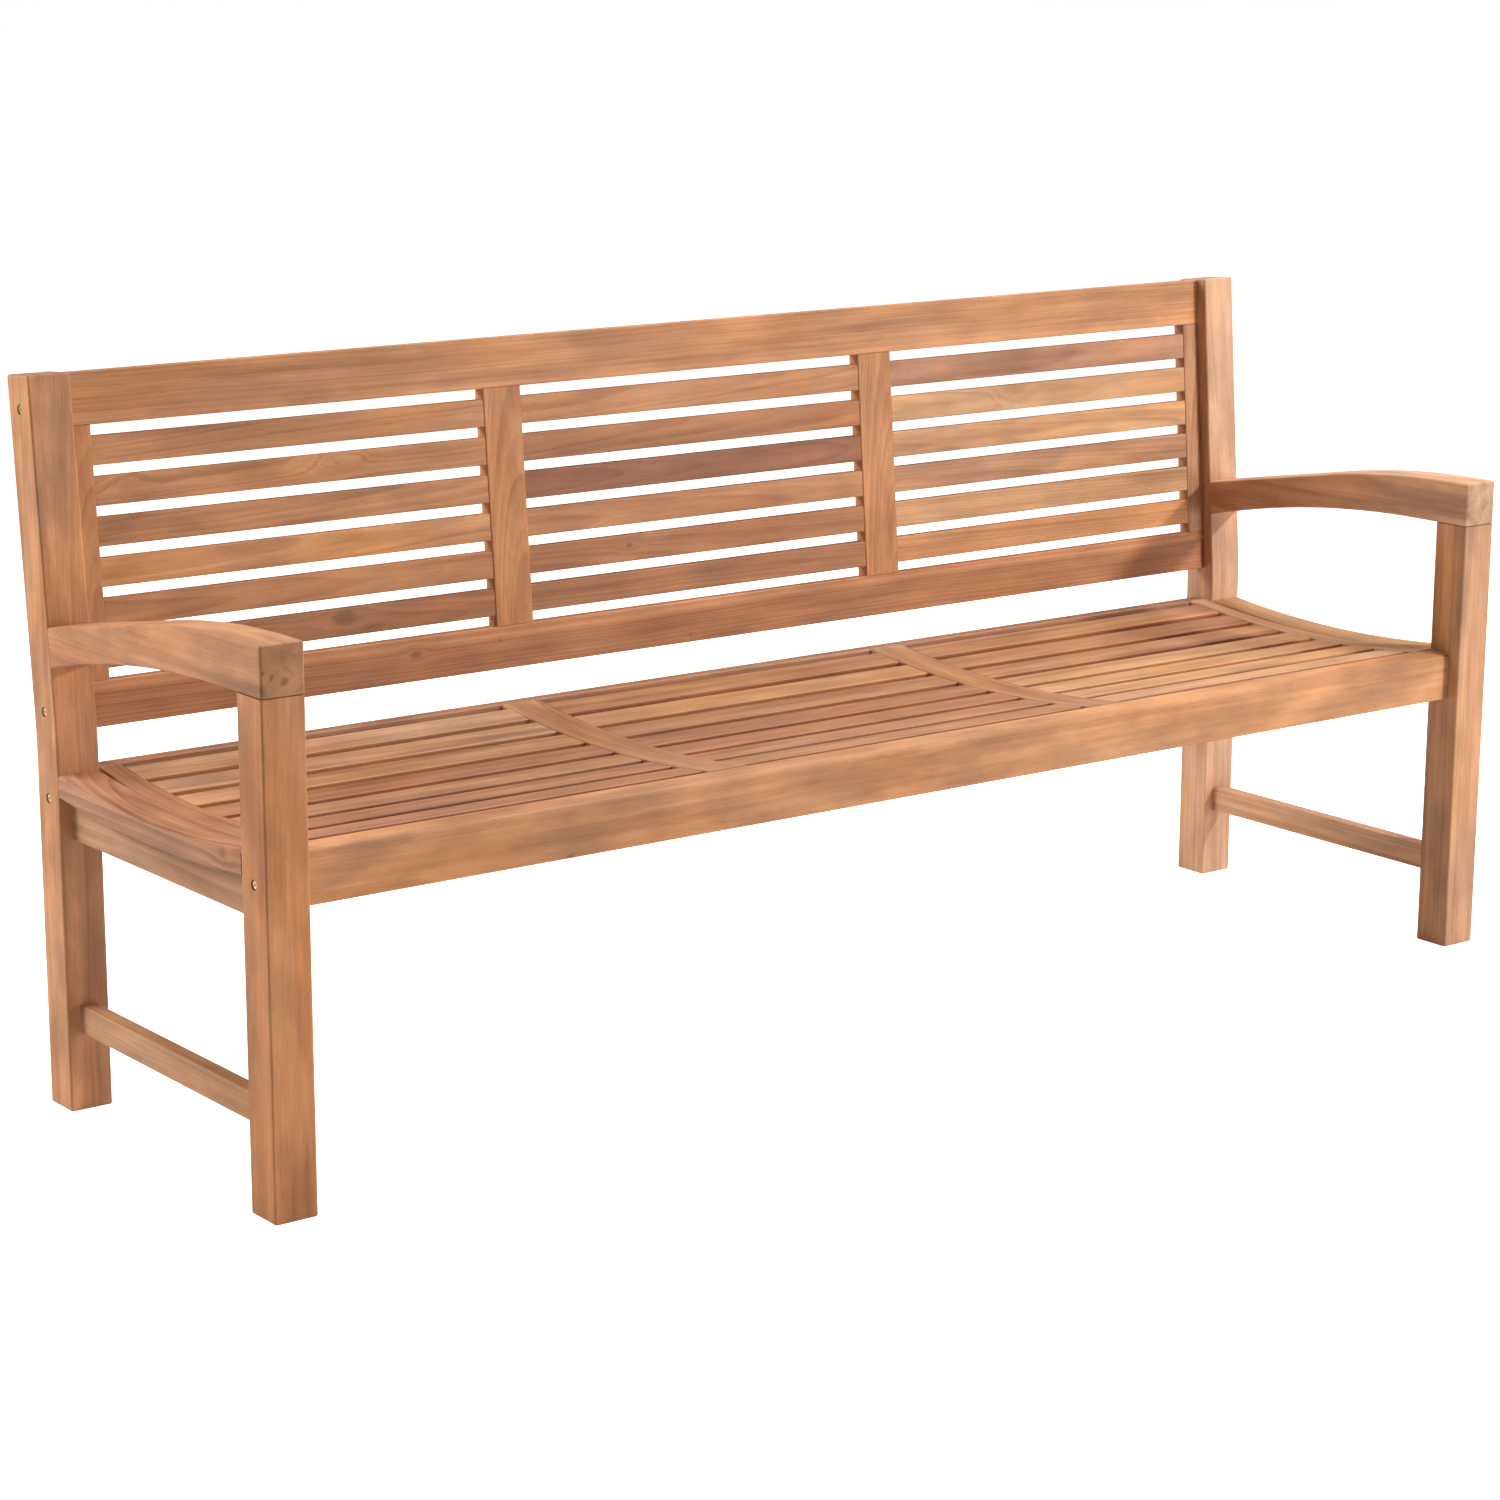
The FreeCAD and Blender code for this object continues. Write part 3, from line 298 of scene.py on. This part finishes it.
# ---- Seat side boards and rails ----
# Dished boards close the seat at both ends, and each lies on a straight rail between the legs.
saw("seat_side_board_left", "Y", "rose", (30, 50), streaks=0.8, ring_width=5.5, rings=0.6,
    knots=((-978, -196, 414, 8),))
saw("seat_side_board_right", "Y", "sand", (60, 40))
saw("seat_side_rail_left", "Y", "dun", (50, 30))
saw("seat_side_rail_right", "Y", "tan", (50, 30))

# ---- Stretchers ----
# Low rails that tie the front and rear legs at each end.
saw("stretcher_left", "Y", "dun", (50, 40), rings=0.3, mottle=0.18)
saw("stretcher_right", "Y", "peach", (50, 30))

# ---- Back panel ----
# A framed panel: top and bottom rail, four stiles, and six slats in each of three bays. Both rails keep a
# strip of orange sapwood along their inner edge, and no two slats are from the same part of a tree.
saw("back_top_rail", "X", "tan", (25, -70), sapwood=94, ring_width=6.0, rings=0.35, streaks=0.45)
saw("back_bottom_rail", "X", "brown", (20, 60), sapwood=76, ring_width=6.0, rings=0.5,
    knots=((-462, 222, 506, 7), (-333, 223, 510, 2.5), (-29, 220, 482, 2.5)))
for number, shade in enumerate(("tan", "tan", "tan", "dun"), 1):
    saw("back_stile_%d" % number, "Z", shade, (60, 10 * number))
SLAT_SHADES = (("tan", "tan", "rose"), ("tan", "brown", "sand"), ("tan", "plum", "sand"),
               ("honey", "tan", "dun"), ("tan", "brown", "sand"), ("brown", "brown", "honey"))
SLAT_KNOTS = {(1, 1): ((-560, 227, 565, 15),), (1, 5): ((-850, 257, 758, 9), (-560, 256, 762, 14)),
              (2, 2): ((-120, 234, 612, 5),), (3, 5): ((560, 256, 764, 10),)}
for row, bays in enumerate(reversed(SLAT_SHADES), 1):
    for bay, shade in enumerate(bays, 1):
        saw("back_slat_bay%d_row%d" % (bay, row), "X", shade, (30 + 7 * row, 20 * bay - 12 * row), taper=1.5,
            knots=SLAT_KNOTS.get((bay, row), ()))

# ---- Seat ----
# A deep front rail, a rear rail and four dished cross rails carry seven rows of slats. The slats' tops lie
# just below the cross rails' tops, and the gaps between the rows are open. The slats' upright sides get a
# painted shade, darker and warmer, where little light reaches down into the gaps.
saw("seat_front_rail", "X", "tan", (70, 30), rings=0.2, streaks=0.3, mottle=0.2,
    knots=((-563, -275, 361, 4),))
saw("seat_rear_rail", "X", "rose", (70, 30))
for number, shade in enumerate(("rose", "dun", "dun", "peach"), 1):
    saw("seat_cross_rail_%d" % number, "Y", shade, (60, 15 * number))
SEAT_SHADES = (("rose", "dun", "peach"), ("rose", "dun", "sand"), ("dun", "rose", "sand"),
               ("rose", "rose", "sand"), ("sand", "dun", "dun"), ("peach", "sand", "dun"),
               ("peach", "dun", "dun"))
for row, bays in enumerate(SEAT_SHADES, 1):
    saw("seat_slats_row%d" % row, "X", bays, (10 * row - 45, 35), ring_width=5.0, shade_in_gaps=True)

# ---- Bolts and nuts ----
# Connector bolts of steel with a pale brass plating, round heads and hexagon sockets, sunk into the legs.
# Each screws into a plated cross dowel inside the end of a rail. The plating is a little dull and uneven.
brass = bpy.data.materials.new("brass plating")
brass.use_nodes = True
plating = brass.node_tree.nodes["Principled BSDF"]
plating.inputs["Metallic"].default_value = 0.7
own = add_node(brass.node_tree, "TexCoord").outputs["Object"]
dull = add_node(brass.node_tree, "TexNoise", {"Vector": own, "Scale": 400.0, "Detail": 3.0})
bright_brass = tone(255, 240, 200)
dull_brass = tone(226, 194, 128)
brass.node_tree.links.new(blended(brass.node_tree, dull.outputs["Fac"], bright_brass, dull_brass),
                          plating.inputs["Base Color"])
brass.node_tree.links.new(between(brass.node_tree, dull.outputs["Fac"], 0.3, 0.7, 0.25, 0.45),
                          plating.inputs["Roughness"])
for name in ("connector_bolts", "barrel_nuts"):
    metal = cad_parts[name]
    for number in range(len(metal.material_slots)):
        metal.material_slots[number].material = brass

# ---- Studio ----
# Plain pale floor in white surroundings. A small key lamp and a low wide lamp stand at the front right, a
# soft lamp lights the left end, a weak one fills the front left, and three hang above and behind. Floor and
# surroundings shine brightly for the camera only, and hardly light the bench.
FLOOR_SEEN, FLOOR_GLOW = 1.1, 0.056
SURROUNDINGS_SEEN, SURROUNDINGS_GLOW = 1.0, 0.01
LAMPS_FACE = Vector((0.0, 0.0, 0.45))

bpy.ops.object.select_all(action="DESELECT")
bpy.ops.mesh.primitive_plane_add(size=60.0, location=(0.0, 0.0, 0.0))
floor = bpy.context.object
floor.name = "studio_floor"
paint = bpy.data.materials.new("white floor paint")
paint.use_nodes = True
floor_surface = paint.node_tree.nodes["Principled BSDF"]
floor_surface.inputs["Base Color"].default_value = (0.85, 0.85, 0.85, 1.0)
floor_surface.inputs["Roughness"].default_value = 0.9
floor_surface.inputs["Emission Color"].default_value = (1.0, 1.0, 1.0, 1.0)
seen = add_node(paint.node_tree, "LightPath").outputs["Is Camera Ray"]
paint.node_tree.links.new(maths(paint.node_tree, "MULTIPLY_ADD", seen, FLOOR_SEEN, FLOOR_GLOW),
                          floor_surface.inputs["Emission Strength"])
floor.data.materials.append(paint)

studio = bpy.data.worlds.new("white studio")
bpy.context.scene.world = studio
studio.use_nodes = True
studio.node_tree.nodes["Background"].inputs["Color"].default_value = (1.0, 1.0, 1.0, 1.0)
seen = add_node(studio.node_tree, "LightPath").outputs["Is Camera Ray"]
glow = maths(studio.node_tree, "MULTIPLY_ADD", seen, SURROUNDINGS_SEEN, SURROUNDINGS_GLOW)
studio.node_tree.links.new(glow, studio.node_tree.nodes["Background"].inputs["Strength"])


def softbox(name, azimuth, elevation, distance, width, height, power):
    """Rectangular lamp that faces the bench from that direction, in degrees, metres and watts."""
    light = bpy.data.lights.new(name, "AREA")
    light.shape = "RECTANGLE"
    light.size = width
    light.size_y = height
    light.energy = power
    lamp = bpy.data.objects.new(name, light)
    bpy.context.scene.collection.objects.link(lamp)
    turn = Euler((math.radians(90 - elevation), 0.0, math.radians(azimuth))).to_matrix()
    place_of_lamp = LAMPS_FACE + turn @ Vector((0.0, 0.0, distance))
    lamp.matrix_world = Matrix.Translation(place_of_lamp) @ turn.to_4x4()


softbox("key lamp", 40.6, 24.1, 4.04, 0.25, 0.25, 80.0)
softbox("low front lamp", 40.0, 3.0, 4.5, 2.5, 0.8, 52.0)
softbox("front left fill lamp", -40.0, 15.0, 5.0, 3.0, 2.0, 12.0)
softbox("side lamp", -125.0, 25.0, 4.0, 1.5, 1.5, 106.0)
softbox("top lamp", 90.0, 68.0, 3.9, 1.5, 1.5, 112.0)
softbox("rear lamp", 130.0, 45.0, 3.5, 1.5, 1.5, 24.0)
softbox("rear top lamp", 180.0, 60.0, 3.5, 2.5, 1.5, 20.0)

# The camera stands off the front left, a little above the back, and looks down on the bench.
CAMERA_PLACE = (-2.9397, -3.7726, 1.4754)
CAMERA_AZIMUTH = math.radians(-37.297)
CAMERA_ELEVATION = math.radians(13.872)
CAMERA_ROLL = math.radians(0.282)

camera_data = bpy.data.cameras.new("camera")
camera_data.sensor_width = 36.0
camera_data.lens = 89.607
camera_data.shift_x = -0.0111
camera_data.shift_y = 0.0321
camera_data.clip_end = 200.0
camera = bpy.data.objects.new("camera", camera_data)
bpy.context.scene.collection.objects.link(camera)
aim = Euler((math.radians(90) - CAMERA_ELEVATION, 0.0, CAMERA_AZIMUTH)).to_matrix()
aim = aim @ Matrix.Rotation(CAMERA_ROLL, 3, "Z")
camera.matrix_world = Matrix.Translation(CAMERA_PLACE) @ aim.to_4x4()
bpy.context.scene.camera = camera
bpy.context.scene.view_settings.view_transform = "Standard"
